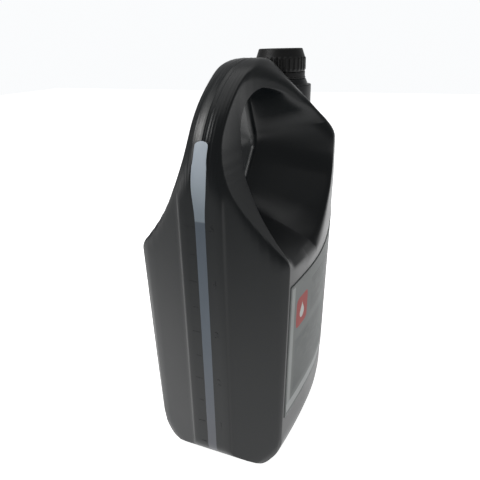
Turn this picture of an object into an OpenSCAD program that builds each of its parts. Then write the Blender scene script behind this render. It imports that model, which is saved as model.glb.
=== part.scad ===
// Coolant bottle: a blow-moulded five litre bottle with a handle moulded in, seen here full and closed.
// X runs from the handle end to the neck end, Y through the thickness and Z up. Lengths are millimetres.
// Each half of the bottle is a height field y = half(x, z) on both sides of the mould's parting plane.

/* [Bottle] */
// Width from the handle end to the neck end
body_w = 200; // [196:1:208]
// Height of the top of the handle above the base
body_h = 308; // [304:1:312]
// Thickness at the fullest place of the two wide faces
body_t = 127; // [120:1:132]
// Thickness at the upright corners beside the handle end
corner_t = 120; // [112:1:124]
// Thickness of the moulded wall
wall = 2; // [1.5:0.1:2.5]
// Depth of the blunt V of the handle end, from its middle to the upright corners
nose_depth = 14.4; // [12:0.2:18]
// How much narrower each wide face stands at the base than at shoulder height
face_taper = 7; // [4:0.5:9]
// Height of the rounded edge round the base
base_round = 26; // [20:1:32]
// How far that edge draws in
base_draw = 21; // [16:0.5:24]
// Radius of the two corners of the base seen from the wide side
base_corner_r = 16; // [14:1:20]

/* [Handle and scoops] */
// Width of the handle's back and of the spine over its top
spine_w = 25; // [23:1:28]
// Width of the flat band that runs down the handle end below the handle
band_w = 35; // [33:1:38]
// How far the band stands proud of the two facets beside it
band_proud = 1.2; // [0.8:0.1:1.6]
// Distance of the handle's inner edge from the handle end
grip_depth = 45; // [42:1:48]
// Length of the finger hole across the bottle
hole_w = 55; // [52:1:58]
// Height of the finger hole
hole_h = 82; // [76:1:86]
// Thickness of the arch over the finger hole
arch_h = 20; // [18:1:24]
// Width of the scoop's sloping wall between the hole and the neck end
scoop_reach = 21; // [19:1:24]
// Height of the scoop's sloping wall below the hole
scoop_drop = 29; // [26:1:32]
// How far below its top the handle starts to flare out into the body
flare_drop = 82; // [79:1:85]
// Distance from the handle end at which the spine starts to flare out into the shoulder
flare_x = 80; // [76:1:84]

/* [Neck and closure] */
// Distance of the neck's axis from the neck end
neck_in = 38; // [36:1:41]
// Radius of the round collar under the neck
collar_r = 27; // [26:0.5:28]
// How far the collar's flat top lies below the top of the handle
collar_drop = 24; // [22:0.5:26]
// Outer radius of the neck over its thread
neck_r = 19; // [18:0.5:19.5]
// Radius of the mouth
mouth_r = 15.5; // [14:0.5:16]
// Height of the mouth's rim above the collar
neck_h = 26; // [24:0.5:27]
// Outer radius of the cap over its ribs
cap_r = 22; // [21.5:0.25:23]
// Thickness of the cap's top
cap_top = 2; // [1.6:0.1:2.6]
// Height of the sloping rim at the top of the cap
cap_bevel = 7; // [5:0.5:8]
// Number of ribs round the cap
cap_ribs = 30; // [24:1:36]
// How far the ribs stand out
rib_proud = 0.6; // [0.4:0.1:0.8]
// Height of the tamper ring
ring_h = 5.4; // [4.5:0.1:6]
// Gap under the cap, between cap and tamper ring
ring_gap = 0.4; // [0.3:0.1:0.6]
// Thickness of the sealing liner inside the cap
liner_t = 1.6; // [1.2:0.1:2]
// Clearance between cap and neck
thread_gap = 0.5; // [0.4:0.1:0.8]

/* [Sight strip, label and contents] */
// Width of the see-through strip in the handle end
strip_w = 7.6; // [6:0.2:9]
// How far the strip's top end lies below the top of the handle
strip_drop = 50; // [46:1:58]
// Height of the strip's bottom end above the base
strip_foot = 9; // [7:1:14]
// Height of the liquid above the base
level_z = 208; // [150:1:210]
// Film of air left between liquid and wall
fill_gap = 0.3; // [0.3:0.05:0.5]
// Height of the label's bottom edge above the base
label_z0 = 50; // [44:1:56]
// Height of the label's top edge at its corner beside the handle end
label_z1 = 160; // [150:1:164]
// Distance of the label from the handle end
label_x0 = 20; // [18:1:26]
// Distance of the label's far edge from the neck end
label_end = 24; // [20:1:35]
// Thickness of the label
label_t = 0.4; // [0.3:0.1:0.6]

/* [Hidden] */

// Places that follow from the sizes above
flare_z = body_h - flare_drop;
neck_x = body_w - neck_in;
collar_z = body_h - collar_drop;
strip_top = body_h - strip_drop;
// The fullest place of the wide faces, and the length over which the neck end rounds
full_x = 78;
far_round = 52;
far_round_x = body_w - far_round;
// How far the wide faces have drawn in at the neck's axis, and the height where they are widest
far_draw = 12.5;
wide_z = 210;
// Width of the edge left at the parting plane of the neck end and at the pinched edge of the hole
parting_half = 1.5;
pinch_half = 3;
// Radius of the handle's edges, of the band's edges and the width of the step beside the band
spine_r = 5;
band_r = 2.5;
band_step = band_proud + 0.6;
// Where the band has narrowed to the width of the handle's back
band_end_z = 248;
// Reach and height of the curve from the handle end over to the top, a quarter of an ellipse
curve_w = 92;
curve_h = 84;
curve_d = norm([curve_w, curve_h]);
// How much flatter the shoulder beside the collar is than the 45 degree flare of the handle
shoulder_fall = 0.4;
// Blend widths: between flat side and flare, between faces and facets, and along the sloping shoulder
flare_blend = 40;
face_blend = 5;
shoulder_blend = 10;
// Towards the foot of the scoop its edge softens by this much, over this height
foot_blend = 20;
foot_run = 40;
// Below this height the scoop's side under the neck opens out by this much per millimetre
open_z = body_h - 50;
open_rate = 0.75;
// Distance over which the flatter shoulder takes over from the flare
roof_run = 30;

// The side view's top edge: the neck end's shoulder, then the slope beside the collar up to the spine
shoulder_drop = 20;
shoulder_r = 34;
foot_in = 22;
foot_drop = 5;
foot_r = 8;
crest_in = 57;
crest_r = 30;
slope_foot = [neck_x - foot_in, collar_z - foot_drop, foot_r];
slope_top = [neck_x - crest_in, body_h, crest_r];
// The quarter ellipse is drawn as two 45 degree corners, this share of their largest radius
ease = 0.98;
// The finger hole: corner radii, end of its floor, widest height of its far side and how far that leans
hole_r = [14, 24, 12, 18, 30];
hole_floor = 0.4;
hole_bulge = 0.47;
hole_lean = 20;
hole_draw = 5;
// The scoop's rim: corner radii, where it passes the floor, the far side and the top, its tip and its bend
rim_r = [6, 44, 30, 20, 14, 26, 20, 20];
rim_floor = 0.6;
rim_bulge = 0.22;
rim_fall = 18;
rim_over = 3;
rim_back = 5;
rim_tip = 6;
rim_bend = [5, 50];
rim_knee = 20;
// The scoop's wall is a bowl: its depth goes with this power of the distance from the hole
bowl = 1.25;
// Centre of the rays that the mesh is drawn on, as shares of the hole's size
ray_share = [0.4, 0.5];
// Length of the straight pieces that curves in the side view are made of
side_step = 8;
side_run = 15;

spine_half = spine_w / 2;
band_half = band_w / 2;
rise = body_t / 2;
hole_x1 = grip_depth + hole_w;
hole_z1 = body_h - arch_h;
hole_z0 = hole_z1 - hole_h;
grip = [grip_depth + hole_w * ray_share[0], hole_z0 + hole_h * ray_share[1]];

// Neck and closure: foot of the cone under the tamper ring, edge breaks, and how deep the collar reaches
cone_h = 5;
cone_r = cap_r + 2;
edge_break = 1;
collar_depth = 30;
ring_z0 = collar_z + cone_h;
cap_z0 = ring_z0 + ring_h + ring_gap;
mouth_z = collar_z + neck_h;
cap_z1 = mouth_z + liner_t + cap_top;
// How far the bevel draws in for its height, width of a rib and play of the liner
bevel_draw = 0.42;
rib_w = 1.2;
liner_play = 0.3;
// Number of flats that a full turn is drawn with
round_n = 96;
// How far the strip's slot is cut past the wall
slot_over = 0.3;

label_x1 = body_w - label_end;
// The label: where its top edge starts to rise and by how much, its mesh and the glue film under it
label_dip_x = 60;
label_rise = 26;
label_parts = 12;
label_seat = 0.35;

function clamp(v, low, high) = min(max(v, low), high);
function blend_min(a, b, k) = min(a, b) - pow(max(k - abs(a - b), 0), 2) / (4 * k);
function blend_max(a, b, k) = -blend_min(-a, -b, k);
function unit(v) = v / norm(v);
function left(v) = [-v[1], v[0]];
function cross2(a, b) = a[0] * b[1] - a[1] * b[0];
function at(list, n) = list[(n + len(list)) % len(list)];

// Side view of a closed shape: corners are [x, z, radius], counter-clockwise, drawn in by d
function corner_arc(corners, n, d) =
    let(
        p = [at(corners, n)[0], at(corners, n)[1]],
        before = at(corners, n - 1),
        after = at(corners, n + 1),
        a = unit(p - [before[0], before[1]]),
        b = unit([after[0], after[1]] - p),
        turn = asin(clamp(cross2(a, b), -1, 1)),
        swing = a * b >= 0 ? turn : sign(turn) * 180 - turn,
        side = sign(turn),
        q = p + d * (left(a) + left(b)) / (1 + left(a) * left(b)),
        r = max(at(corners, n)[2] - side * d, 0.5),
        start = q - a * r * tan(abs(swing) / 2),
        centre = start + side * r * left(a),
        steps = max(3, ceil(at(corners, n)[2] * abs(swing) * PI / 180 / side_step))
    )
    [for (k = [0:steps])
        let(w = swing * k / steps, v = start - centre)
        centre + [v[0] * cos(w) - v[1] * sin(w), v[0] * sin(w) + v[1] * cos(w)]];

function rounded(corners, d) = [for (n = [0:len(corners) - 1]) each corner_arc(corners, n, d)];

// The same outline with its long straight runs divided
function divided(points) =
    [for (n = [0:len(points) - 1])
        let(p = points[n], q = at(points, n + 1), parts = ceil(norm(q - p) / side_run))
        if (norm(q - p) > 0.01) each [for (k = [0:parts - 1]) p + (q - p) * k / parts]];

outline = [
    [0, 0, base_corner_r],
    [body_w, 0, base_corner_r],
    [body_w, collar_z - shoulder_drop, shoulder_r],
    slope_foot,
    slope_top,
    [curve_w + curve_h - curve_d, body_h, ease * (curve_d - curve_h) / tan(22.5)],
    [0, body_h - curve_w - curve_h + curve_d, ease * (curve_d - curve_w) / tan(22.5)]
];
hole = [
    [grip_depth - hole_draw, hole_z0, hole_r[0]],
    [grip_depth + hole_w * hole_floor, hole_z0, hole_r[1]],
    [hole_x1, hole_z0 + hole_h * hole_bulge, hole_r[2]],
    [hole_x1 - hole_lean, hole_z1, hole_r[3]],
    [grip_depth, hole_z1, hole_r[4]]
];
rim = [
    [nose_depth + rim_tip, hole_z0 - scoop_drop, rim_r[0]],
    [grip_depth + hole_w * rim_floor, hole_z0 - scoop_drop, rim_r[1]],
    [hole_x1 + scoop_reach, hole_z0 + hole_h * rim_bulge, rim_r[2]],
    [hole_x1 + scoop_reach, hole_z1 - rim_fall, rim_r[3]],
    [hole_x1 - rim_back, hole_z1 + rim_over, rim_r[4]],
    [grip_depth - rim_over, hole_z1 + rim_over, rim_r[5]],
    [grip_depth - rim_bend[0], hole_z0 + rim_bend[1], rim_r[6]],
    [nose_depth + rim_tip, hole_z0 + rim_knee, rim_r[7]]
];

// Distance from the middle of the hole to a closed outline, in the direction of u
function reach(points, u) =
    max([for (n = [0:len(points) - 1])
        let(p = points[n] - grip, q = at(points, n + 1) - grip, c = cross2(u, q - p))
        if (cross2(u, p) <= 0 && cross2(u, q) > 0 && c != 0) cross2(p, q - p) / c]);

// Height of the top edge at distance x, and distance of the handle end's outline at height z
edge_line = rounded(outline, 0);
top_line = [for (n = [len(edge_line) - 1:-1:0]) if (edge_line[n][1] > collar_z / 2) edge_line[n]];
near_line = [for (p = top_line) if (p[0] < curve_w) [p[1], p[0]]];
function top_z(x) = lookup(x, top_line);
function near_x(z) = lookup(z, near_line);
// Drop of a quarter circle, t running from its crest (0) to its side (1)
function dip(t) = 1 - sqrt(1 - pow(clamp(t, 0, 1), 2));

// Half thickness of the wide faces
function crown(x) =
    x < full_x
    ? body_t / 2 - (body_t - corner_t) / 2 * pow((full_x - x) / (full_x - nose_depth), 2)
    : body_t / 2 - far_draw * pow((x - full_x) / (neck_x - full_x), 2);
function face_half(x, z, i) =
    let(
        t = clamp((x - far_round_x) / (body_w - i - far_round_x), 0, 1),
        flat = crown(x) - i - face_taper * max(wide_z - z, 0) / wide_z,
        low = base_draw * dip(1 - (z - i) / (base_round - i))
    )
    (flat - low - parting_half) * sqrt(1 - pow(t, 3)) + parting_half;

// Half thickness near the handle end, u in from its outline: the band and a facet beside it
function nose_half(u, z, i) =
    let(
        narrow = clamp((z - flare_z) / (band_end_z - flare_z), 0, 1),
        edge = band_half - (band_half - spine_half) * narrow - i,
        slope = (corner_t / 2 - band_half) / (nose_depth - band_step),
        r = band_r
    )
    max(edge - r + sqrt(r * r - pow(r - clamp(u, 0, r), 2)), edge + (u - band_step) * slope);

// Half thickness under the sloping shoulder, at the flat side of the handle and where it flares out
function roof_half(x, z, i) =
    let(k = 1 + shoulder_fall * clamp((x - slope_top[0]) / roof_run, 0, 1))
    spine_half + k * (top_z(x) - z) - i * norm([1, k]);
function flank_half(x, z, i) =
    let(side = x - flare_x + open_rate * max(open_z - z, 0))
    blend_max(spine_half - i, spine_half + max(flare_z - z, side) - i * sqrt(2), flare_blend);

// Half thickness anywhere: d is the distance in from the outline, s goes from the hole (0) to the rim (1)
function half(x, z, d, s, i) =
    let(
        body = blend_min(face_half(x, z, i), nose_half(x - i - near_x(z), z, i), face_blend),
        shoulder = blend_min(body, roof_half(x, z, i), shoulder_blend),
        soft = face_blend + foot_blend * clamp((flare_z - z) / foot_run, 0, 1),
        scoop = blend_min(flank_half(x, z, i), pinch_half + rise * pow(max(s, 0), bowl), soft),
        e = spine_r - clamp(d, 0, spine_r),
        spine = sqrt(spine_r * spine_r - e * e) - spine_r
    )
    max(blend_min(shoulder, scoop, face_blend) + (z > flare_z ? spine : 0), parting_half);

// Rings of points from the outline in to the hole, each as [x, z, d, s]
edge_steps = [0, 1, 2.2, 5, 9, nose_depth];
floor_steps = [0.35, 0.7];
wall_steps = [1, 0.8, 0.6, 0.4, 0.2, 0];
rays = [for (p = divided(rounded(outline, 0))) unit(p - grip)];

function ring_set(i) =
    let(
        edges = [for (d = edge_steps) rounded(outline, d + i)],
        rim_line = rounded(rim, -1.07 * i),
        hole_line = rounded(hole, -1.07 * i),
        r_rim = [for (u = rays) reach(rim_line, u)],
        r_hole = [for (u = rays) reach(hole_line, u)],
        r_in = [for (u = rays) reach(edges[len(edges) - 1], u)]
    )
    [
        each [for (k = [0:len(edges) - 1])
            [for (u = rays) let(r = reach(edges[k], u)) [each grip + r * u, edge_steps[k], 2]]],
        each [for (f = floor_steps)
            [for (n = [0:len(rays) - 1])
                let(r = r_in[n] + (r_rim[n] - r_in[n]) * f)
                [each grip + r * rays[n], nose_depth, 1 + (r - r_rim[n]) / (r_rim[n] - r_hole[n])]]],
        each [for (s = wall_steps)
            [for (n = [0:len(rays) - 1])
                [each grip + (r_hole[n] + (r_rim[n] - r_hole[n]) * s) * rays[n], nose_depth, s]]]
    ];

// The whole blown shape drawn in by i: both halves, joined round the outline and round the hole
module blown(i) {
    rings = ring_set(i);
    count = len(rays);
    last = len(rings) - 1;
    side = [for (ring = rings) each [for (v = ring) [v[0], half(v[0], v[1], v[2], v[3], i), v[1]]]];
    back = len(side);
    points = [each [for (p = side) [p[0], -p[1], p[2]]], each side];
    function id(k, n) = k * count + n % count;
    faces = [
        each [for (k = [0:last - 1], n = [0:count - 1])
            let(a = id(k, n), b = id(k, n + 1), c = id(k + 1, n + 1), d = id(k + 1, n))
            each [[a, c, b], [a, d, c], [back + a, back + b, back + c], [back + a, back + c, back + d]]],
        each [for (n = [0:count - 1])
            let(a = id(0, n), b = id(0, n + 1), c = id(last, n), d = id(last, n + 1))
            each [[a, b, back + b, back + a], [c, back + c, back + d, d]]]
    ];
    translate([-body_w / 2, 0, 0]) polyhedron(points, faces, convexity = 10);
}

// Round pieces on the neck's axis
module on_neck(z) { translate([neck_x - body_w / 2, 0, z]) children(); }

module neck_outside() {
    on_neck(0) rotate_extrude($fn = round_n) polygon([
        [0, collar_z - collar_depth], [collar_r, collar_z - collar_depth],
        [collar_r, collar_z - edge_break], [collar_r - edge_break, collar_z],
        [cone_r, collar_z], [cap_r, ring_z0], [neck_r, ring_z0],
        [neck_r, mouth_z - edge_break], [neck_r - edge_break, mouth_z], [0, mouth_z]
    ]);
}

module neck_inside() {
    on_neck(0) rotate_extrude($fn = round_n) polygon([
        [0, collar_z - collar_depth - 1], [collar_r - wall, collar_z - collar_depth - 1],
        [collar_r - wall, collar_z - wall - edge_break], [collar_r - wall - edge_break, collar_z - wall],
        [mouth_r, collar_z - wall], [mouth_r, mouth_z + 1], [0, mouth_z + 1]
    ]);
}

// Slice of the handle end's wall, from depth d0 to d1 below the outline
module strip_slice(d0, d1) {
    translate([-body_w / 2, strip_w / 2, 0]) rotate([90, 0, 0]) linear_extrude(strip_w)
        intersection() {
            difference() {
                polygon(rounded(outline, d0));
                polygon(rounded(outline, d1));
            }
            translate([-wall, strip_foot]) square([curve_w / 2, strip_top - strip_foot]);
        }
}

module bottle() {
    color([0.13, 0.14, 0.15]) difference() {
        union() {
            blown(0);
            neck_outside();
        }
        blown(wall);
        neck_inside();
        strip_slice(-1, wall + slot_over);
    }
}

module sight_strip() {
    color([0.5, 0.55, 0.6]) strip_slice(0, wall);
}

module coolant() {
    color([0.3, 0.35, 0.5]) intersection() {
        blown(wall + fill_gap);
        translate([-body_w, -body_t, 0]) cube([2 * body_w, 2 * body_t, level_z]);
    }
}

// Sheet over the front face: its top edge follows the rim of the scoop
function label_top(x) = label_z1 + label_rise * pow(max(x - label_dip_x, 0) / (label_x1 - label_dip_x), 2);
module front_label() {
    columns = [for (k = [0:label_parts]) label_x0 + (label_x1 - label_x0) * k / label_parts];
    rows = [for (k = [0:label_parts]) k / label_parts];
    function sheet(off) = [for (x = columns, f = rows)
        let(z = label_z0 + (label_top(x) - label_z0) * f)
        [x - body_w / 2, -face_half(x, z, 0) - off, z]];
    n = label_parts + 1;
    back = n * n;
    function rim_path() = [
        each [for (k = [0:n - 2]) k * n], each [for (k = [0:n - 2]) (n - 1) * n + k],
        each [for (k = [n - 1:-1:1]) k * n + n - 1], each [for (k = [n - 1:-1:1]) k]
    ];
    path = rim_path();
    color([0.75, 0.77, 0.76]) polyhedron(
        [each sheet(label_seat + label_t), each sheet(label_seat)],
        [
            each [for (a = [0:n - 2], b = [0:n - 2])
                let(p = a * n + b)
                each [[p, p + 1, p + n + 1], [p, p + n + 1, p + n],
                    [back + p, back + p + n + 1, back + p + 1], [back + p, back + p + n, back + p + n + 1]]],
            each [for (k = [0:len(path) - 1])
                let(p = path[k], q = at(path, k + 1))
                [p, q, back + q, back + p]]
        ], convexity = 4);
}

module tamper_ring() {
    color([0.12, 0.12, 0.13]) on_neck(ring_z0) difference() {
        cylinder(r = cap_r, h = ring_h, $fn = round_n);
        translate([0, 0, -1]) cylinder(r = neck_r + thread_gap, h = ring_h + 2, $fn = round_n);
    }
}

module cap() {
    core_r = cap_r - rib_proud;
    bevel_z = cap_z1 - cap_bevel;
    bore_z = cap_z1 - cap_top;
    color([0.12, 0.12, 0.13]) on_neck(0) difference() {
        union() {
            rotate_extrude($fn = round_n) polygon([
                [0, cap_z0], [core_r, cap_z0], [core_r, bevel_z], [cap_r - cap_bevel * bevel_draw, cap_z1], [0, cap_z1]
            ]);
            for (k = [0:cap_ribs - 1]) rotate([0, 0, 360 * k / cap_ribs])
                translate([core_r - edge_break, -rib_w / 2, cap_z0 + edge_break])
                    cube([rib_proud + edge_break, rib_w, bevel_z - cap_z0 - 2 * edge_break]);
        }
        translate([0, 0, cap_z0 - 1]) cylinder(r = neck_r + thread_gap, h = bore_z - cap_z0 + 1, $fn = round_n);
    }
}

module cap_liner() {
    color([0.85, 0.85, 0.82]) on_neck(mouth_z) cylinder(r = neck_r - liner_play, h = liner_t, $fn = round_n);
}

bottle();
sight_strip();
coolant();
front_label();
tamper_ring();
cap();
cap_liner();
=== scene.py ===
import bpy, math
import numpy as np
from mathutils import Matrix, Vector


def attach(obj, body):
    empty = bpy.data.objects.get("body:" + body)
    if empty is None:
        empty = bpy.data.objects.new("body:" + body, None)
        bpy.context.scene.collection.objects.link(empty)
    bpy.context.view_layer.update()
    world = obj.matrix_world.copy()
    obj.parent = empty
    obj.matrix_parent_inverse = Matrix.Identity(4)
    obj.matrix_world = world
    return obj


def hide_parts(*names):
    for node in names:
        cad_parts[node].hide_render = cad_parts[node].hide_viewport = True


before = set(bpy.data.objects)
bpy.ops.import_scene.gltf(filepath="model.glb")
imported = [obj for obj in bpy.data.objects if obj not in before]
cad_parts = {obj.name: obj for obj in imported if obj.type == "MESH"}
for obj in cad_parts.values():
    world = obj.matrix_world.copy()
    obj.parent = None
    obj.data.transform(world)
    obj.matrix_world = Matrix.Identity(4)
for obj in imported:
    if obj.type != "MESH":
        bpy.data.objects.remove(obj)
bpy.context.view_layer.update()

# ---------------------------------------------------------------- sizes
# Millimetres, with the names and values of the part's source: x runs from the handle end, z up
MM = 0.001
BODY_W, BODY_H, BODY_T, CORNER_T, WALL = 200.0, 308.0, 127.0, 120.0, 2.0
NOSE_DEPTH, FACE_TAPER, BASE_ROUND, BASE_DRAW, BASE_CORNER_R = 14.4, 7.0, 26.0, 21.0, 16.0
SPINE_HALF, BAND_HALF, BAND_STEP, BAND_R, BAND_END_Z = 12.5, 17.5, 1.8, 2.5, 248.0
GRIP_DEPTH, HOLE_W, HOLE_H, ARCH_H = 45.0, 55.0, 82.0, 20.0
SCOOP_REACH, SCOOP_DROP, FLARE_DROP, FLARE_X = 21.0, 29.0, 82.0, 80.0
NECK_IN, COLLAR_R, COLLAR_DROP, MOUTH_R, NECK_H, CONE_H = 38.0, 27.0, 24.0, 15.5, 26.0, 5.0
CAP_R, CAP_TOP, CAP_BEVEL, BEVEL_DRAW, CAP_RIBS = 22.0, 2.0, 7.0, 0.42, 30
RING_H, RING_GAP, LINER_T = 5.4, 0.4, 1.6
STRIP_FOOT = 9.0
FULL_X, FAR_ROUND, FAR_DRAW, WIDE_Z = 78.0, 52.0, 12.5, 210.0
PARTING_HALF, PINCH_HALF, BOWL = 1.5, 3.0, 1.25
SHOULDER_FALL, ROOF_RUN, OPEN_Z, OPEN_RATE = 0.4, 30.0, BODY_H - 50, 0.75
FLARE_BLEND, FACE_BLEND, SHOULDER_BLEND, FOOT_BLEND, FOOT_RUN = 40.0, 5.0, 10.0, 20.0, 40.0
SHOULDER_DROP, SHOULDER_R, FOOT_IN, FOOT_DROP, FOOT_R, CREST_IN, CREST_R = 20, 34, 22, 5, 8, 57, 30
CURVE_W, CURVE_H, EASE = 92.0, 84.0, 0.98
CURVE_D = math.hypot(CURVE_W, CURVE_H)
HOLE_RADII, HOLE_FLOOR, HOLE_BULGE, HOLE_LEAN, HOLE_DRAW = (14, 24, 12, 18, 30), 0.4, 0.47, 20, 5
RIM_RADII = (6, 44, 30, 20, 14, 26, 20, 20)
RIM_FLOOR, RIM_BULGE, RIM_FALL, RIM_OVER, RIM_BACK, RIM_TIP, RIM_KNEE = 0.6, 0.22, 18, 3, 5, 6, 20
RIM_BEND = (5, 50)
LABEL_DIP_X, LABEL_RISE = 60.0, 26.0

# Places that follow from them
FLARE_Z, NECK_X, COLLAR_Z = BODY_H - FLARE_DROP, BODY_W - NECK_IN, BODY_H - COLLAR_DROP
HOLE_X1, HOLE_Z1 = GRIP_DEPTH + HOLE_W, BODY_H - ARCH_H
HOLE_Z0 = HOLE_Z1 - HOLE_H
CREST_X = NECK_X - CREST_IN
MOUTH_Z, RING_Z = COLLAR_Z + NECK_H, COLLAR_Z + CONE_H
CAP_Z0, CAP_Z1 = RING_Z + RING_H + RING_GAP, MOUTH_Z + LINER_T + CAP_TOP
RAY_SHARE = (0.4, 0.5)
CENTRE = np.array([GRIP_DEPTH + HOLE_W * RAY_SHARE[0], HOLE_Z0 + HOLE_H * RAY_SHARE[1]])

# Only here: the strip's half width, where it changes (by how much, at what height, over what run) and its head
STRIP_TOP, STRIP_HALF, STRIP_SHARE = 260.6, 3.7, 0.9
STRIP_SPREADS = ((2.0, 222.0, 5.0), (-0.6, 246.0, 4.0))
# Slack around its ends: the width starts below the foot, and so does the face, which ends just over the head
WIDTH_BELOW, FACE_BELOW, FACE_ABOVE = 2.0, 1.5, 0.1
HEAD_R, HEAD_POWER, HEAD_LEAST = 4.2, 2.6, 0.002
# The seam's ridge, and the crease beside it: its height, its share of the way to the edge, and its run
SEAM_PROUD, SEAM_HALF = 0.28, 0.45
CREASE_PROUD, CREASE_AT, CREASE_RUN = 0.3, 0.62, 25.0
# Rounding of the handle's back, and how far below the flare and over what height it sets in
BACK_R, BACK_BELOW, BACK_RUN = 3.2, 14.0, 40.0
# The rim stays this far inside the edge rows and outside the hole, each with its blend
RIM_INSIDE, RIM_INSIDE_BLEND, RIM_OUTSIDE, RIM_OUTSIDE_BLEND = 1.2, 4.0, 1.5, 2.0

# Mesh: least radius, chord and least number of chords of a corner, steps along the outline, rows and columns
LEAST_R, CHORD, LEAST_CHORDS = 0.5, 1.2, 6
EDGE_STEP, HEAD_STEP, HEAD_BELOW, HEAD_ABOVE = (2.6), 0.6, 9.0, 3.0
EDGE_ROWS = (0, 0.25, 0.6, 1.0, 1.5, 2.1, 2.8, 3.6, 4.4, 5.2, 6.4, 8, 10, 12, NOSE_DEPTH)
FLOOR_ROWS, WALL_ROWS = ((30, 36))
WALL_POWER, PAST_RIM = 1.35, 2.0
# Columns across the outer edge: share of the half width, and share of the ridge's height or None for the crease
COLUMNS = ((-1, None), (-1, 0), (-0.5, 0.6), (0, 1), (0.5, 0.6), (1, 0), (1, None))
STRIP_COLUMNS = range(2, 6)
SHORTEST, PARALLEL = 1e-6, 1e-9


# ---------------------------------------------------------------- shape of the blown bottle
def blend_min(a, b, k):
    return np.minimum(a, b) - np.maximum(k - abs(a - b), 0) ** 2 / (4 * k)


def blend_max(a, b, k):
    return -blend_min(-a, -b, k)


def clamp(v):
    return np.minimum(np.maximum(v, 0.0), 1.0)


def smooth(v):
    """Eased step of a value between 0 and 1."""
    return v * v * (3 - 2 * v)


def unit(v):
    return v / np.linalg.norm(v)


def rounded(corners, d=0.0):
    """Side view of a closed shape: corners are (x, z, radius), counter-clockwise, drawn in by d."""
    out = []
    n = len(corners)
    for i in range(n):
        before, p, after = (np.array(corners[j % n][:2], float) for j in (i - 1, i, i + 1))
        a, b = unit(p - before), unit(after - p)
        swing = math.atan2(a[0] * b[1] - a[1] * b[0], a @ b)
        side = 1.0 if swing > 0 else -1.0
        left_a, left_b = np.array([-a[1], a[0]]), np.array([-b[1], b[0]])
        q = p + d * (left_a + left_b) / (1 + left_a @ left_b)
        r = max(corners[i][2] - side * d, LEAST_R)
        start = q - a * r * math.tan(abs(swing) / 2)
        middle = start + side * r * left_a
        v = start - middle
        chords = max(LEAST_CHORDS, int(abs(swing) * corners[i][2] / CHORD))
        for j in range(chords + 1):
            w = swing * j / chords
            out.append(middle + [v[0] * math.cos(w) - v[1] * math.sin(w),
                                 v[0] * math.sin(w) + v[1] * math.cos(w)])
    return np.array(out)


HALF_BEND = math.tan(math.radians(22.5))
OUTLINE = [(0, 0, BASE_CORNER_R), (BODY_W, 0, BASE_CORNER_R), (BODY_W, COLLAR_Z - SHOULDER_DROP, SHOULDER_R),
           (NECK_X - FOOT_IN, COLLAR_Z - FOOT_DROP, FOOT_R), (CREST_X, BODY_H, CREST_R),
           (CURVE_W + CURVE_H - CURVE_D, BODY_H, EASE * (CURVE_D - CURVE_H) / HALF_BEND),
           (0, BODY_H - CURVE_W - CURVE_H + CURVE_D, EASE * (CURVE_D - CURVE_W) / HALF_BEND)]
HOLE_POINTS = [(GRIP_DEPTH - HOLE_DRAW, HOLE_Z0), (GRIP_DEPTH + HOLE_W * HOLE_FLOOR, HOLE_Z0),
               (HOLE_X1, HOLE_Z0 + HOLE_H * HOLE_BULGE), (HOLE_X1 - HOLE_LEAN, HOLE_Z1), (GRIP_DEPTH, HOLE_Z1)]
RIM_POINTS = [(NOSE_DEPTH + RIM_TIP, HOLE_Z0 - SCOOP_DROP), (GRIP_DEPTH + HOLE_W * RIM_FLOOR, HOLE_Z0 - SCOOP_DROP),
              (HOLE_X1 + SCOOP_REACH, HOLE_Z0 + HOLE_H * RIM_BULGE), (HOLE_X1 + SCOOP_REACH, HOLE_Z1 - RIM_FALL),
              (HOLE_X1 - RIM_BACK, HOLE_Z1 + RIM_OVER), (GRIP_DEPTH - RIM_OVER, HOLE_Z1 + RIM_OVER),
              (GRIP_DEPTH - RIM_BEND[0], HOLE_Z0 + RIM_BEND[1]), (NOSE_DEPTH + RIM_TIP, HOLE_Z0 + RIM_KNEE)]
HOLE = [(*p, r) for p, r in zip(HOLE_POINTS, HOLE_RADII)]
RIM = [(*p, r) for p, r in zip(RIM_POINTS, RIM_RADII)]
EDGE = rounded(OUTLINE)
TOP = EDGE[EDGE[:, 1] > COLLAR_Z / 2][::-1]
TOP = TOP[np.argsort(TOP[:, 0], kind="stable")]
NEAR = TOP[TOP[:, 0] < CURVE_W]


def top_z(x):
    return np.interp(x, TOP[:, 0], TOP[:, 1])


def near_x(z):
    return np.interp(z, NEAR[:, 1], NEAR[:, 0])


def dip(t):
    """Drop of a quarter circle, t running from its crest (0) to its side (1)."""
    return 1 - np.sqrt(1 - clamp(t) ** 2)


def face_half(x, z):
    """Half thickness of the wide faces."""
    near = (BODY_T - CORNER_T) / 2 * ((FULL_X - x) / (FULL_X - NOSE_DEPTH)) ** 2
    far = FAR_DRAW * ((x - FULL_X) / (NECK_X - FULL_X)) ** 2
    flat = BODY_T / 2 - np.where(x < FULL_X, near, far) - FACE_TAPER * np.maximum(WIDE_Z - z, 0) / WIDE_Z
    low = BASE_DRAW * dip(1 - z / BASE_ROUND)
    t = clamp((x - BODY_W + FAR_ROUND) / FAR_ROUND)
    return (flat - low - PARTING_HALF) * np.sqrt(1 - t ** 3) + PARTING_HALF


def nose_half(u, z):
    """Half thickness near the handle end, u in from its outline: the band and a facet beside it."""
    narrow = clamp((z - FLARE_Z) / (BAND_END_Z - FLARE_Z))
    edge = BAND_HALF - (BAND_HALF - SPINE_HALF) * narrow
    corner = BAND_R - np.clip(u, 0, BAND_R)
    slope = (CORNER_T / 2 - BAND_HALF) / (NOSE_DEPTH - BAND_STEP)
    return np.maximum(edge - BAND_R + np.sqrt(BAND_R ** 2 - corner ** 2), edge + (u - BAND_STEP) * slope)


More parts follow.
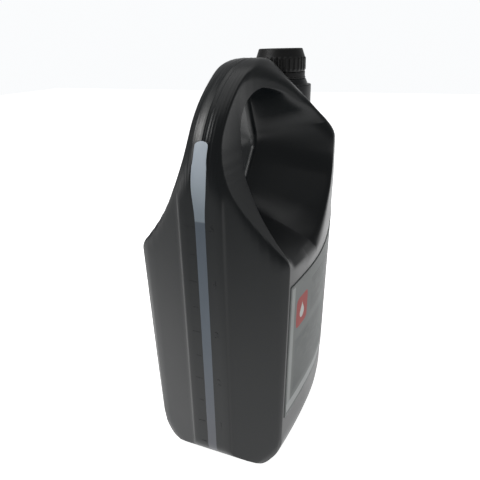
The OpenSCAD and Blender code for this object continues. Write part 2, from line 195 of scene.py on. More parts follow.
def half(x, z, d, s):
    """Half thickness anywhere: d is the distance in from the outline, s goes from the hole (0) to the rim (1)."""
    body = blend_min(face_half(x, z), nose_half(x - near_x(z), z), FACE_BLEND)
    fall = 1 + SHOULDER_FALL * clamp((x - CREST_X) / ROOF_RUN)
    body = blend_min(body, SPINE_HALF + fall * (top_z(x) - z), SHOULDER_BLEND)
    side = x - FLARE_X + OPEN_RATE * np.maximum(OPEN_Z - z, 0)
    flank = blend_max(SPINE_HALF, SPINE_HALF + np.maximum(FLARE_Z - z, side), FLARE_BLEND)
    soft = FACE_BLEND + FOOT_BLEND * clamp((FLARE_Z - z) / FOOT_RUN)
    scoop = blend_min(flank, PINCH_HALF + BODY_T / 2 * np.maximum(s, 0) ** BOWL, soft)
    e = BACK_R - np.clip(d, 0, BACK_R)
    back = np.sqrt(BACK_R ** 2 - e * e) - BACK_R
    start = smooth(clamp((z - FLARE_Z + BACK_BELOW) / BACK_RUN))
    return np.maximum(blend_min(body, scoop, FACE_BLEND) + back * start, PARTING_HALF)


def strip_half(z):
    """Half width of the strip. It spreads above the liquid, where the wall is thin, and ends in a round head."""
    spread = STRIP_HALF + sum(gain / (1 + np.exp((at - z) / run)) for gain, at, run in STRIP_SPREADS)
    corner = clamp((z - STRIP_TOP + HEAD_R) / HEAD_R)
    return spread * np.sqrt(np.maximum(1 - corner ** HEAD_POWER, HEAD_LEAST))


def cross(a, b):
    return a[..., 0] * b[..., 1] - a[..., 1] * b[..., 0]


def reach(points, rays):
    """Distance from the middle of the hole to a closed outline along each ray."""
    p = points - CENTRE
    q = np.roll(p, -1, axis=0)
    keep = np.linalg.norm(q - p, axis=1) > SHORTEST
    p, q, rays = p[keep][None], q[keep][None], rays[:, None]
    den = cross(rays, q - p)
    hit = (cross(rays, p) <= 0) & (cross(rays, q) > 0) & (abs(den) > PARALLEL)
    return np.where(hit, cross(p, q - p) / np.where(hit, den, 1), -1).max(axis=1)


def along(points, step):
    """Points spaced by step along a closed outline."""
    q = np.vstack([points, points[:1]])
    at = np.concatenate([[0], np.cumsum(np.linalg.norm(np.diff(q, axis=0), axis=1))])
    t = np.arange(0, at[-1], at[-1] / round(at[-1] / step))
    return np.stack([np.interp(t, at, q[:, 0]), np.interp(t, at, q[:, 1])], axis=1)


def mesh(name, verts, faces, smooth=True):
    me = bpy.data.meshes.new(name)
    me.from_pydata([tuple(v) for v in verts], [], faces)
    me.validate()
    me.update()
    if smooth:
        me.polygons.foreach_set("use_smooth", [True] * len(me.polygons))
    return add(name, me)


def add(name, data):
    ob = bpy.data.objects.new(name, data)
    bpy.context.scene.collection.objects.link(ob)
    return ob


def place(points):
    """From the sizes' millimetres to the frame's metres."""
    return (np.asarray(points, float) - [BODY_W / 2, 0, 0]) * MM


def outer_line():
    """Points along the outline, closer together round the strip's head."""
    def at_head(p):
        return p[0] < CURVE_W / 2 and STRIP_TOP - HEAD_BELOW < p[1] < STRIP_TOP + HEAD_ABOVE
    line = along(EDGE, EDGE_STEP)
    head = [at_head(p) for p in line]
    first = head.index(True)
    close = [p for p in along(EDGE, HEAD_STEP) if at_head(p)]
    return np.array([*line[:first], *close, *line[first + sum(head):]])


def skin_rows(rays):
    """Rows of the skin from the outline to the hole: the distance along each ray, and d and s for half()."""
    ones = np.ones(len(rays))
    rows = [(reach(rounded(OUTLINE, d), rays), d * ones, PAST_RIM * ones) for d in EDGE_ROWS]
    r_in = rows[-1][0]
    r_hole = reach(rounded(HOLE), rays)
    r_rim = blend_min(reach(rounded(RIM), rays), r_in - RIM_INSIDE, RIM_INSIDE_BLEND)
    r_rim = blend_max(r_rim, r_hole + RIM_OUTSIDE, RIM_OUTSIDE_BLEND)
    for k in range(1, FLOOR_ROWS):
        r = r_in + (r_rim - r_in) * k / FLOOR_ROWS
        rows.append((r, NOSE_DEPTH * ones, 1 + (r - r_rim) / (r_rim - r_hole)))
    for k in range(WALL_ROWS + 1):
        s = (1 - k / WALL_ROWS) ** WALL_POWER
        rows.append((r_hole + (r_rim - r_hole) * s, NOSE_DEPTH * ones, s * ones))
    return rows


def edge_points(p):
    """Points across the outer edge at p: the strip or the seam's ridge, with a crease on each side."""
    front = p[0] < CREST_X
    on_strip = front and STRIP_FOOT - WIDTH_BELOW <= p[2] <= STRIP_TOP
    w = min(float(strip_half(p[2])) if on_strip else SEAM_HALF, p[1] * STRIP_SHARE)
    ridge = 0.0 if front and p[2] <= STRIP_TOP else SEAM_PROUD
    lift = CREASE_PROUD * clamp((p[2] - FLARE_Z) / CREASE_RUN) if front else 0.0
    outward = unit(p[[0, 2]] - CENTRE)
    points = []
    for share, up in COLUMNS:
        y, off = (w + CREASE_AT * (p[1] - w), lift) if up is None else (w, ridge * up)
        points.append([p[0] + outward[0] * off, share * y, p[2] + outward[1] * off])
    return points


def build_bottle():
    """The bottle's skin, and the face of the sight strip that fills its slot."""
    rays = outer_line() - CENTRE
    rays /= np.linalg.norm(rays, axis=1)[:, None]
    count = len(rays)
    rings = []
    for r, d, s in skin_rows(rays):
        p = CENTRE + rays * r[:, None]
        rings.append(np.stack([p[:, 0], half(p[:, 0], p[:, 1], d, s), p[:, 1]], axis=1))
    side = np.vstack(rings)
    back = len(side)
    this = np.arange(count)
    following = (this + 1) % count
    faces = []
    for k in range(len(rings) - 1):
        a, b, c, d = k * count + this, k * count + following, (k + 1) * count + following, (k + 1) * count + this
        faces += np.stack([a, b, c, d], axis=1).tolist()
        faces += (back + np.stack([a, d, c, b], axis=1)).tolist()
    # across the hole's edge
    last = (len(rings) - 1) * count
    a, b = last + this, last + following
    faces += np.stack([a, b, back + b, back + a], axis=1).tolist()
    # across the outer edge
    outer = rings[0]
    verts = np.vstack([side * [1, -1, 1], side, [q for p in outer for q in edge_points(p)]])

    def column(i):
        first = 2 * back + i * len(COLUMNS)
        return [i, *range(first, first + len(COLUMNS)), back + i]
    strip_faces = []
    for i, j in zip(this, following):
        pair = outer[[i, j]]
        on_strip = (pair[:, 0] < CURVE_W / 2).all() and pair[:, 2].min() >= STRIP_FOOT - FACE_BELOW \
            and pair[:, 2].max() <= STRIP_TOP + FACE_ABOVE
        left, right = column(int(i)), column(int(j))
        for c in range(len(COLUMNS) + 1):
            quad = [left[c], left[c + 1], right[c + 1], right[c]]
            (strip_faces if on_strip and c in STRIP_COLUMNS else faces).append(quad)
    body = mesh("bottle_shell", place(verts), [f[::-1] for f in faces])
    used = sorted({v for f in strip_faces for v in f})
    index = {v: k for k, v in enumerate(used)}
    strip = mesh("sight_strip_face", place(verts[used]), [[index[v] for v in f][::-1] for f in strip_faces])
    return body, strip


# ---------------------------------------------------------------- round pieces
def around(r, angle, z):
    """A point at radius r round the neck's axis."""
    return [NECK_X + r * math.cos(angle), r * math.sin(angle), z]


def lathe(name, profile, turns, ribs=None):
    """Revolved piece round the neck; ribs(angle, r, z) may change a radius."""
    verts, faces = [], []
    for i in range(turns):
        w = 2 * math.pi * i / turns
        verts += [around(ribs(w, r, z) if ribs else r, w, z) for r, z in profile]
    k = len(profile)
    for i in range(turns):
        j = (i + 1) % turns
        faces += [[i * k + c, j * k + c, j * k + c + 1, i * k + c + 1] for c in range(k - 1)]
    return mesh(name, place(verts), faces)


SIDE_SHARE = 0.45


def fillet(points, radius, n):
    """Open profile with its corners rounded in n points, by less than half of the shorter side."""
    out = [points[0]]
    for a, p, b in zip(points, points[1:], points[2:]):
        a, p, b = map(np.array, (a, p, b))
        k = min(radius, SIDE_SHARE * np.linalg.norm(a - p), SIDE_SHARE * np.linalg.norm(b - p))
        s, e = p + unit(a - p) * k, p + unit(b - p) * k
        out += [tuple((1 - t) ** 2 * s + 2 * t * (1 - t) * p + t * t * e) for t in np.linspace(0, 1, n)]
    out.append(points[-1])
    return out


CORE_R, CONE_FOOT_R, COLLAR_DEPTH = 18.2, 24.2, 32.0
NECK_SEAT, CONE_OUT, NECK_BREAK, BREAK_POINTS, NECK_TURNS = 0.1, 0.2, 0.9, 6, 160
THREAD_TURNS, THREAD_PITCH, THREAD_Z, THREAD_PARTS, THREAD_FADE = 1.9, 4.5, 298.2, 64, 8
# Section of the thread: how far it stands out of the neck's core, and its height
THREAD_SECTION = ((-0.3, -1.3), (0.35, -0.45), (0.95, -0.3), (0.95, 0.3), (0.35, 0.45), (-0.3, 1.3))


def build_neck():
    seat, inner = RING_Z - NECK_SEAT, COLLAR_R - WALL
    under = COLLAR_Z - WALL
    profile = [(COLLAR_R, COLLAR_Z - COLLAR_DEPTH), (COLLAR_R, COLLAR_Z), (CONE_FOOT_R, COLLAR_Z),
               (CAP_R + CONE_OUT, seat), (CORE_R, seat), (CORE_R, MOUTH_Z), (MOUTH_R, MOUTH_Z),
               (MOUTH_R, under), (inner, under), (inner, under - COLLAR_DEPTH)]
    neck = lathe("neck_and_collar", fillet(profile, NECK_BREAK, BREAK_POINTS), NECK_TURNS)
    verts, faces = [], []
    parts, size = int(THREAD_TURNS * THREAD_PARTS), len(THREAD_SECTION)
    for i in range(parts + 1):
        fade = min(1, i / THREAD_FADE, (parts - i) / THREAD_FADE)
        for out, up in THREAD_SECTION:
            r = CORE_R + (out * fade if out > 0 else out)
            verts.append(around(r, 2 * math.pi * i / THREAD_PARTS, THREAD_Z + THREAD_PITCH * i / THREAD_PARTS + up))
    for i in range(parts):
        for a in range(i * size, i * size + size - 1):
            faces.append([a, a + size, a + size + 1, a + 1])
    return neck, mesh("neck_thread", place(verts), faces)


CAP_TURNS = 600
INNER_R, CAP_DISH, CAP_MIDDLE_R, CAP_AXIS_R = 19.5, 0.45, 8.0, 0.001
# Ribs: height, width and flank as shares of their pitch, run-out at the foot and at the bevel, and slack
RIB_PROUD, RIB_W, RIB_FLANK, RIB_RISE, RIB_END, RIB_SLACK_R, RIB_SLACK_Z = 0.75, 0.62, 0.22, 0.8, 0.9, 0.2, 0.3
# Break of the lower edge, and the small rounding where the bevel starts
CAP_BREAK, CAP_BREAK_IN, BEVEL_IN, BEVEL_BELOW, BEVEL_ABOVE = 0.3, 0.2, 0.1, 0.2, 0.25
# Rows up the skirt and how far below the bevel they end, and rows up the bevel
SKIRT_ROWS, SKIRT_END, BEVEL_ROWS, BEVEL_FIRST, BEVEL_SHORT = 12, 0.6, 8, 0.15, 0.9
# Top of the cap: how far in from the bevel's end, and how far below the highest place
CAP_CROWN = ((0.25, 0.3), (0.7, 0.06), (1.3, 0.0), (2.2, 0.0), (2.7, 0.35), (4.0, CAP_DISH))


def build_cap():
    core, bevel, top = CAP_R - RIB_PROUD, CAP_Z1 - CAP_BEVEL, CAP_R - CAP_BEVEL * BEVEL_DRAW
    edge_z = CAP_Z0 + CAP_BREAK
    profile = [(INNER_R, edge_z), (INNER_R + CAP_BREAK_IN, CAP_Z0), (core - CAP_BREAK, CAP_Z0), (core, edge_z)]
    profile += [(core, z) for z in np.linspace(CAP_Z0 + RIB_RISE, bevel - SKIRT_END, SKIRT_ROWS)]
    r0, z0, rise = core - BEVEL_IN, bevel + BEVEL_ABOVE, CAP_Z1 - bevel - BEVEL_SHORT
    profile += [(core, bevel - BEVEL_BELOW), (r0, z0)]
    profile += [(r0 + (top - r0) * t, z0 + rise * t) for t in np.linspace(BEVEL_FIRST, 1, BEVEL_ROWS)]
    profile += [(top - i, CAP_Z1 - down) for i, down in CAP_CROWN]
    profile += [(CAP_MIDDLE_R, CAP_Z1 - CAP_DISH), (CAP_AXIS_R, CAP_Z1 - CAP_DISH)]

    def rib(w, r, z):
        if r < core - RIB_SLACK_R or z > bevel + RIB_SLACK_Z:
            return r
        up = clamp((z - CAP_Z0 - RIB_RISE) / RIB_RISE) * clamp((bevel + RIB_SLACK_R - z) / RIB_END)
        t = abs((w * CAP_RIBS / (2 * math.pi)) % 1 - 0.5) * 2
        return r + RIB_PROUD * up * smooth(clamp((RIB_W - t) / RIB_FLANK))
    return lathe("cap_shell", profile, CAP_TURNS, rib)


RING_SEAT, LIP_IN, LIP_H, LIP_SLOPE, FACE_IN = 0.15, 0.05, 1.0, 0.3, 0.5
RING_BREAK, RING_POINTS, RING_TURNS = 0.35, 4, 200
# Bridges: how many, turn of the first, half angle and inner radius; distance in from the ring's face, sink and gap
BRIDGES, BRIDGE_SHIFT, BRIDGE_HALF, BRIDGE_R0 = 14, 0.3, 0.035, 20.2
BRIDGE_IN, BRIDGE_SINK, BRIDGE_GAP = 0.05, 0.3, 0.02
# Faces of a box whose corners are listed as two layers of four
BOX_FACES = ((4, 6, 7, 5), (0, 1, 3, 2), (0, 4, 5, 1), (2, 3, 7, 6), (1, 5, 7, 3), (0, 2, 6, 4))


def build_ring():
    z0, z1 = RING_Z + RING_SEAT, RING_Z + RING_H
    lip, face = CAP_R - LIP_IN, CAP_R - FACE_IN
    profile = [(INNER_R, z0), (lip, z0), (lip, z0 + LIP_H), (face, z0 + LIP_H + LIP_SLOPE), (face, z1), (INNER_R, z1)]
    ring = lathe("tamper_band", fillet(profile, RING_BREAK, RING_POINTS), RING_TURNS)
    verts, faces = [], []
    for i in range(BRIDGES):
        middle = 2 * math.pi * (i + BRIDGE_SHIFT) / BRIDGES
        faces += [[len(verts) + c for c in quad] for quad in BOX_FACES]
        verts += [around(r, middle + turn, z) for r in (BRIDGE_R0, face - BRIDGE_IN)
                  for turn in (-BRIDGE_HALF, BRIDGE_HALF) for z in (z1 - BRIDGE_SINK, CAP_Z0 - BRIDGE_GAP)]
    return ring, mesh("tamper_bridges", place(verts), faces, smooth=False)


# ---------------------------------------------------------------- label
LABEL_X0, LABEL_X1, LABEL_Z0, LABEL_Z1 = 18.0, 176.0, 46.5, 161.0
LABEL_OUT, LABEL_SKIRT, LABEL_MESH = 0.45, 0.5, (((140, 90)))


def build_label():
    """A sheet on the wide face, with a skirt that reaches into it."""
    nx, nz = LABEL_MESH
    x = LABEL_X0 + (LABEL_X1 - LABEL_X0) * np.linspace(0, 1, nx)[:, None] + np.zeros((1, nz))
    top = LABEL_Z1 + LABEL_RISE * (np.maximum(x - LABEL_DIP_X, 0) / (LABEL_X1 - LABEL_DIP_X)) ** 2
    z = LABEL_Z0 + (top - LABEL_Z0) * np.linspace(0, 1, nz)[None, :]
    sheet = np.stack([x, -face_half(x, z) - LABEL_OUT, z], axis=2).reshape(-1, 3)
    faces = [[a, a + nz, a + nz + 1, a + 1] for i in range(nx - 1) for a in range(i * nz, i * nz + nz - 1)]
    rim = [i * nz for i in range(nx)] + [(nx - 1) * nz + j for j in range(1, nz)] \
        + [i * nz + nz - 1 for i in range(nx - 2, -1, -1)] + list(range(nz - 2, 0, -1))
    b = len(sheet)
    faces += [[p, b + p, b + q, q] for p, q in zip(rim, rim[1:] + rim[:1])]
    return mesh("front_label_print", place(np.vstack([sheet, sheet + [0, LABEL_SKIRT, 0]])), faces)


# ---------------------------------------------------------------- volume marks
LITRES, MARK_Z, MARK_STEP = 5, 37.9, 41.5
DIGIT_SIZE, DIGIT_OUT, DIGIT_BEVEL, DIGIT_Y = 7.8, 0.12, 0.06, -8.5
TICK_Y, TICK_LONG, TICK_SHORT, TICK_HALF, TICK_SINK, TICK_PROUD, TICK_SLOPE = 5.2, 6.0, 4.2, 0.45, 0.25, 0.16, 0.12
# The digits read upright from the handle end: a text's x runs along -Y and its y up
UPRIGHT = Matrix(((0, 0, -1, 0), (-1, 0, 0, 0), (0, 1, 0, 0), (0, 0, 0, 1)))


def build_digit(n):
    text = bpy.data.curves.new(f"litre_{n}", "FONT")
    text.body = str(n)
    text.size, text.extrude, text.bevel_depth = DIGIT_SIZE * MM, DIGIT_OUT * MM, DIGIT_BEVEL * MM
    text.align_x = text.align_y = "CENTER"
    text.resolution_u = 3
    ob = add(f"litre_{n}", text)
    ob.matrix_world = Matrix.Translation(place([0, DIGIT_Y, MARK_Z + MARK_STEP * (n - 1)])) @ UPRIGHT
    bpy.context.view_layer.update()
    me = bpy.data.meshes.new_from_object(ob.evaluated_get(bpy.context.evaluated_depsgraph_get()))
    me.transform(ob.matrix_world)
    bpy.data.objects.remove(ob)
    return add(f"litre_mark_{n}", me)


def build_scale():
    """Digits at the litres, and a tick at each half litre on the other side of the strip."""
    verts, faces = [], []
    for k in range(-1, 2 * LITRES - 1):
        z = MARK_Z + MARK_STEP / 2 * k
        y1 = TICK_Y + (TICK_LONG if k % 2 == 0 else TICK_SHORT)
        b = len(verts)
        for x, g in ((TICK_SINK, 0), (-TICK_PROUD, TICK_SLOPE)):
            low, high = z - TICK_HALF + g, z + TICK_HALF - g
            verts += [[x, TICK_Y + g, low], [x, y1 - g, low], [x, y1 - g, high], [x, TICK_Y + g, high]]
        faces.append([b + 4, b + 7, b + 6, b + 5])
        faces += [[b + c, b + 4 + c, b + 4 + (c + 1) % 4, b + (c + 1) % 4] for c in range(4)]
    digits = [build_digit(n) for n in range(1, LITRES + 1)]
    return digits + [mesh("graduation_ticks", place(verts), faces, smooth=False)]


# ---------------------------------------------------------------- materials
class Graph:
    """Short names for the nodes that a node tree is built of."""
    def __init__(self, tree):
        self.tree = tree

    def node(self, kind, **settings):
        n = self.tree.nodes.new("ShaderNode" + kind)
        for key, value in settings.items():
            setattr(n, key, value)
        return n

    def put(self, socket, v):
        if isinstance(v, (int, float)):
            socket.default_value = v
        elif isinstance(v, (tuple, list)):
            socket.default_value = (*v, 1.0) if len(v) == 3 else v
        else:
            self.tree.links.new(v, socket)

    def math(self, op, a, b=0.0):
        n = self.node("Math", operation=op)
        self.put(n.inputs[0], a)
        self.put(n.inputs[1], b)
        return n.outputs[0]

    def times(self, first, *others):
        for v in others:
            first = self.math("MULTIPLY", first, v)
        return first

    def ramp(self, v, lo, hi, a=0.0, b=1.0):
        """From a to b, eased, while v goes from lo to hi."""
        n = self.node("MapRange", interpolation_type="SMOOTHSTEP")
        self.put(n.inputs[0], v)
        for k, x in zip(range(1, 5), (lo, hi, a, b)):
            n.inputs[k].default_value = x
        return n.outputs[0]

    def mix(self, f, a, b):
        n = self.node("Mix", data_type="RGBA")
        for k, v in ((0, f), (6, a), (7, b)):
            self.put(n.inputs[k], v)
        return n.outputs[2]


class Mat(Graph):
    """A principled material; x, y and z are metres in the frame."""
    def __init__(self, name):
        self.material = bpy.data.materials.new(name)
        self.material.use_nodes = True
        super().__init__(self.material.node_tree)
        self.tree.nodes.clear()
        shader = self.node("BsdfPrincipled")
        self.inputs = shader.inputs
        self.put(self.node("OutputMaterial").inputs[0], shader.outputs[0])
        self.at = self.node("TexCoord").outputs["Object"]
        split = self.node("SeparateXYZ")
        self.put(split.inputs[0], self.at)
        self.x, self.y, self.z = split.outputs

    def set(self, name, v):
        self.put(self.inputs[name], v)

    def source(self, name):
        """What feeds an input now."""
        return self.inputs[name].links[0].from_socket

    def noise(self, scale, detail=4.0, rough=0.55, stretch=None):
        n = self.node("TexNoise")
        for key, v in (("Scale", scale), ("Detail", detail), ("Roughness", rough)):
            n.inputs[key].default_value = v
        at = self.at
        if stretch:
            mapping = self.node("Mapping")
            mapping.inputs["Scale"].default_value = stretch
            self.put(mapping.inputs[0], at)
            at = mapping.outputs[0]
        self.put(n.inputs["Vector"], at)
        return n.outputs["Fac"]

    def bump(self, height, strength, distance, over=None):
        n = self.node("Bump")
        n.inputs["Strength"].default_value = strength
        n.inputs["Distance"].default_value = distance
        self.put(n.inputs["Height"], height)
        if over is not None:
            self.put(n.inputs["Normal"], over)
        return n.outputs[0]

    def paint(self, ob):
        ob.data.materials.clear()
        ob.data.materials.append(self.material)


DUST = (0.04, 0.04, 0.04)


def plastic(name, colour, rough, spec=0.4, dust_and_sheen=0.5):
    """Plastic with a soft cloud in its colour and gloss, a little dust, and a fine grain over a slow wave."""
    m = Mat(name)
    cloud = m.noise(9)
    light = tuple(c * 1.6 + 0.001 for c in colour)
    base = m.mix(m.ramp(cloud, 0.3, 0.75, 0.0, 0.6), colour, light)
    base = m.mix(m.ramp(m.noise(60, 6, 0.7), 0.62, 0.8, 0.0, 0.35 * dust_and_sheen), base, DUST)
    m.set("Base Color", base)
    m.set("Roughness", m.ramp(cloud, 0.25, 0.8, rough - 0.05, rough + 0.07))
    m.set("Specular IOR Level", spec)
    m.set("IOR", 1.5)
    m.set("Normal", m.bump(m.noise(900, 3), 0.06, 0.0004, m.bump(m.noise(28, 2), 0.05, 0.002)))
    return m


LINE_PITCH = 0.0021
# Pale colour of the painted sheen over the strip's head: light glancing off the handle and showing through its thin
# wall
PAINTED_SHEEN = (0.17, 0.17, 0.168)


def body_material():
    """The bottle's plastic, with fine lines on the handle's back and a pale patch of painted sheen over the strip's
    head.
    """
    m = plastic("body_plastic", (0.0024, 0.0036, 0.0043), 0.34, spec=0.34)
    lines = m.math("SINE", m.times(m.y, 2 * math.pi / LINE_PITCH))
    lines = m.times(lines, m.ramp(m.z, 0.225, 0.245), m.ramp(m.x, -0.05, -0.03, 1.0, 0.0))
    m.set("Normal", m.bump(lines, 0.22, 0.0002, m.source("Normal")))
    # Painted sheen: a pale patch left of the seam over the strip's head, standing in for light glancing off and
    # showing through the thin wall
    dust_and_sheen = m.times(m.ramp(m.y, 0.0002, 0.0006), m.ramp(m.y, 0.0035, 0.0075, 1.0, 0.0), m.ramp(m.z, 0.240, 0.256),
                   m.ramp(m.z, 0.262, 0.297, 1.0, 0.0), m.ramp(m.x, -0.05, -0.04, 1.0, 0.0))
    m.set("Base Color", m.mix(dust_and_sheen, m.source("Base Color"), PAINTED_SHEEN))
    return m


# Colours of the strip, from the foot up to the liquid's level and from there to the head. Above the level it grows
# paler towards the head: partly the milky strip with no liquid behind it, partly painted light shining through it
STRIP_WET = ((0.070, 0.072, 0.084), (0.062, 0.082, 0.106))
STRIP_DRY_LIT = ((0.17, 0.205, 0.235), (0.50, 0.56, 0.62))
STRIP_CLOUD = (0.05, 0.06, 0.08)


def strip_material():
    m = Mat("strip_plastic")
    cloud = m.noise(30, 3, 0.5, (1, 1, 0.25))
    low = m.mix(m.ramp(m.z, 0.0, 0.12), *STRIP_WET)
    # Above the liquid's level: the strip's own milky tone, with painted light shining through the thin strip that
    # grows paler up to the head
    high = m.mix(m.ramp(m.z, 0.208, 0.262), *STRIP_DRY_LIT)
    base = m.mix(m.ramp(m.z, 0.2072, 0.2088), low, high)
    m.set("Base Color", m.mix(m.ramp(cloud, 0.3, 0.8, 0.0, 0.25), base, STRIP_CLOUD))
    m.set("Roughness", m.ramp(cloud, 0.2, 0.8, 0.3, 0.42))
    m.set("Subsurface Weight", 0.15)
    m.inputs["Subsurface Radius"].default_value = (0.002, 0.0025, 0.003)
    m.set("Normal", m.bump(m.noise(400, 2), 0.05, 0.0004))
    return m


PAPER, SHADE, INK = (0.125, 0.134, 0.131), (0.088, 0.098, 0.096), (0.022, 0.025, 0.025)
SIDE_PALE, FOOT_PALE = (0.23, 0.24, 0.235), (0.28, 0.29, 0.29)
TILE_RED, DROP_PALE = (0.26, 0.03, 0.026), (0.42, 0.43, 0.42)
# Fields of the label in metres: x from and to, z from and to
SIDE_FIELD, FOOT_FIELD = (-0.0795, -0.074, 0.0505, 0.158), (-0.08, 0.08, 0.050, 0.058)
SHADE_FIELD = (-0.072, 0.066, 0.062, 0.112)
BAR_FIELDS = ((-0.069, 0.060, 0.064, 0.110), (-0.038, 0.060, 0.120, 0.150))
FIELD_SOFT, BAR_ROWS = 0.0003, 420.0
TILE_X, TILE_Z, TILE_HALF_W, TILE_HALF_H, TILE_POWER = -0.0585, 0.1325, 0.0115, 0.0125, 6.0
DROP_SINK, DROP_R, DROP_TIP, DROP_TIP_W = 0.0025, 0.0042, 0.0095, 0.0044


def label_material():
    """Film with pale and dark fields, rows of short bars, and a pale drop on a red tile with rounded corners."""
    m = Mat("label_film")

    def span(v, low, high):
        inside_low = m.ramp(v, low - FIELD_SOFT, low + FIELD_SOFT)
        return m.times(inside_low, m.ramp(v, high - FIELD_SOFT, high + FIELD_SOFT, 1.0, 0.0))

    def field(x0, x1, z0, z1):
        return m.times(span(m.x, x0, x1), span(m.z, z0, z1))

    def distance(v, centre):
        return m.math("ABSOLUTE", m.math("SUBTRACT", v, centre))

    def power(v, size, exponent):
        return m.math("POWER", m.math("DIVIDE", v, size), exponent)

    cloud = m.noise(14)
    base = m.mix(m.ramp(cloud, 0.3, 0.75, 0.0, 0.3), PAPER, SHADE)
    base = m.mix(field(*SIDE_FIELD), base, SIDE_PALE)
    base = m.mix(field(*FOOT_FIELD), base, FOOT_PALE)
    base = m.mix(m.times(field(*SHADE_FIELD), 0.75), base, SHADE)
    row = m.ramp(distance(m.math("FRACT", m.times(m.z, BAR_ROWS)), 0.5), 0.16, 0.24, 1.0, 0.0)
    bars = m.times(row, m.ramp(m.noise(120, 2, 0.5, (1, 1, 3.2)), 0.40, 0.46))
    for place_of_bars in BAR_FIELDS:
        base = m.mix(m.times(bars, field(*place_of_bars), 0.6), base, INK)
    dx, dz = distance(m.x, TILE_X), distance(m.z, TILE_Z)
    tile = m.math("ADD", power(dx, TILE_HALF_W, TILE_POWER), power(dz, TILE_HALF_H, TILE_POWER))
    base = m.mix(m.ramp(tile, 0.95, 1.05, 1.0, 0.0), base, TILE_RED)
    up = m.math("SUBTRACT", m.z, TILE_Z - DROP_SINK)
    ball = m.math("ADD", power(dx, DROP_R, 2.0), power(up, DROP_R, 2.0))
    narrow = m.math("LESS_THAN", dx, m.ramp(up, 0.0, DROP_TIP, DROP_TIP_W, 0.0))
    tip = m.times(narrow, m.math("GREATER_THAN", up, 0.0))
    base = m.mix(m.math("MAXIMUM", m.ramp(ball, 0.94, 1.06, 1.0, 0.0), tip), base, DROP_PALE)
    m.set("Base Color", base)
    m.set("Roughness", m.ramp(cloud, 0.2, 0.8, 0.44, 0.56))
    m.set("Specular IOR Level", 0.16)
    m.set("Normal", m.bump(m.noise(55, 2), 0.08, 0.001))
    return m


body_m = body_material()
cap_m = plastic("cap_plastic", (0.0036, 0.0036, 0.0038), 0.44, spec=0.32, dust_and_sheen=0.3)
strip_m = strip_material()
label_m = label_material()
foam_m = plastic("liner_foam", (0.6, 0.6, 0.57), 0.6, dust_and_sheen=0.0)

shell, strip = build_bottle()
neck, thread = build_neck()
cap = build_cap()
ring, bridges = build_ring()
label = build_label()
scale = build_scale()

for ob in (shell, neck, thread, *scale):
    body_m.paint(ob)
    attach(ob, "bottle")
for ob in (ring, bridges):
    cap_m.paint(ob)
    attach(ob, "bottle")
cap_m.paint(cap)
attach(cap, "cap")
strip_m.paint(strip)
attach(strip, "bottle")
label_m.paint(label)
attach(label, "bottle")
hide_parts("bottle")
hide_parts("sight_strip")
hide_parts("tamper_ring")
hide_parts("cap")
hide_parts("front_label")
for name, m in (("coolant", strip_m), ("cap_liner", foam_m)):
    for material_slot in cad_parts[name].material_slots:
        material_slot.material = m.material

# ---------------------------------------------------------------- floor and surroundings
FLOOR_HALF, FADE_PER_Y, FADE_PER_X = 3.0, 0.35, 0.8
FADE_FROM, FADE_TO, FLOOR_BRIGHT, FLOOR_DIM = 0.15, 0.52, 0.98, 0.07
corners = [(x * FLOOR_HALF, y * FLOOR_HALF, 0) for x, y in ((-1, -1), (1, -1), (1, 1), (-1, 1))]
floor = mesh("floor", corners, [[0, 1, 2, 3]])
fm = Mat("floor_white")
fm.set("Base Color", fm.mix(fm.ramp(fm.noise(2, 2), 0.3, 0.7), (0.90, 0.90, 0.90), (0.93, 0.93, 0.93)))
fm.set("Roughness", 0.9)
fm.set("Emission Color", (1, 1, 1))
# The floor shines, and fades out on the side of the handle end
toward = fm.math("SUBTRACT", fm.times(fm.y, FADE_PER_Y), fm.times(fm.x, FADE_PER_X))
fm.set("Emission Strength", fm.ramp(toward, FADE_FROM, FADE_TO, FLOOR_BRIGHT, FLOOR_DIM))
fm.paint(floor)

# The sky is dim but for a glow over the horizon, on the side that lies behind the bottle for the camera
SKY_COLOUR, SKY_DIM, SKY_GLOW, BEHIND = (0.98, 0.99, 1.0), 0.25, 0.98, (0.9135, 0.4067, 0.0)
GLOW_SIDE, GLOW_HEIGHT = (0.74, 0.90), (0.08, 0.30)
world = bpy.data.worlds.new("studio")
bpy.context.scene.world = world
world.use_nodes = True
sky = Graph(world.node_tree)
background = world.node_tree.nodes["Background"]
sky.put(background.inputs[0], SKY_COLOUR)
direction = sky.node("TexCoord").outputs["Generated"]
height = sky.node("SeparateXYZ")
sky.put(height.inputs[0], direction)
facing = sky.node("VectorMath", operation="DOT_PRODUCT")
facing.inputs[1].default_value = BEHIND
sky.put(facing.inputs[0], direction)
strength = sky.node("Mix")
sky.put(strength.inputs[0], sky.ramp(facing.outputs["Value"], *GLOW_SIDE))
sky.put(strength.inputs[2], SKY_DIM)
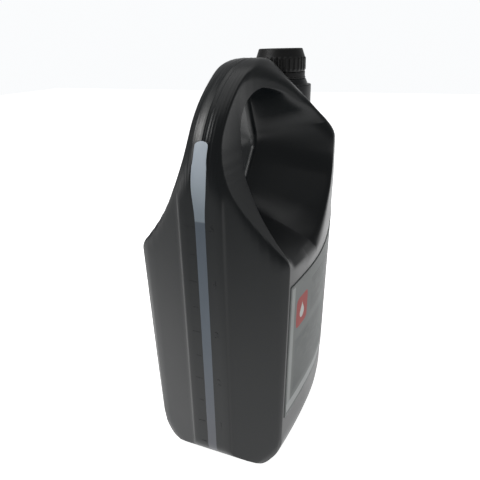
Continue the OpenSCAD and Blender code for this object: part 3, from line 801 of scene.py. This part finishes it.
sky.put(strength.inputs[3], sky.ramp(height.outputs[2], *GLOW_HEIGHT, SKY_GLOW, SKY_DIM))
sky.put(background.inputs[1], strength.outputs[0])
bpy.context.scene.view_settings.view_transform = "Standard"

# ---------------------------------------------------------------- lamps and camera
# Name, place, what it points at, size, second size or None, power
LAMPS = (("key", (-0.65, 0.85, 1.3), (0, 0, 0.2), 0.55, 0.42, 7.0),
         ("side", (-0.8, 1.3, 0.3), (0, 0, 0.1), 1.0, 0.5, 3.8),
         ("top", (0.3, 0.0, 1.7), (0.1, 0, 0), 1.4, None, 6.0),
         ("rim", (1.2, -0.6, 0.45), (0, 0, 0.2), 0.7, None, 0.4))
for name, where, target, size, size_y, power in LAMPS:
    data = bpy.data.lights.new(name, "AREA")
    data.energy, data.size = power, size
    if size_y:
        data.shape, data.size_y = "RECTANGLE", size_y
    lamp = add(name, data)
    lamp.location = where
    lamp.rotation_euler = (Vector(target) - Vector(where)).to_track_quat("-Z", "Y").to_euler()

# The camera as it was fitted to the photograph: place in metres, angles in degrees, focal length in pixels
CAMERA_AT, AZIMUTH, PITCH, ROLL = (-0.3717, -0.1505, 0.3183), 24.02, 21.87, -1.42
PICTURE, FOCAL, SHIFT_X, SHIFT_Y, SENSOR = 480, 490.94, -0.4, 0.6, 36.0
azimuth, pitch, roll = map(math.radians, (AZIMUTH, PITCH, ROLL))
level = Vector((math.cos(azimuth), math.sin(azimuth), 0))
right = Vector((math.sin(azimuth), -math.cos(azimuth), 0))
upward = Vector((0, 0, 1))
forward = level * math.cos(pitch) - upward * math.sin(pitch)
above = upward * math.cos(pitch) + level * math.sin(pitch)
axes = (right * math.cos(roll) + above * math.sin(roll), above * math.cos(roll) - right * math.sin(roll), -forward)
data = bpy.data.cameras.new("camera")
data.sensor_width = SENSOR
data.lens = FOCAL / PICTURE * SENSOR
data.shift_x, data.shift_y = SHIFT_X / PICTURE, SHIFT_Y / PICTURE
data.clip_start = 0.01
camera = add("camera", data)
camera.matrix_world = Matrix.Translation(CAMERA_AT) @ Matrix(axes).transposed().to_4x4()
bpy.context.scene.camera = camera
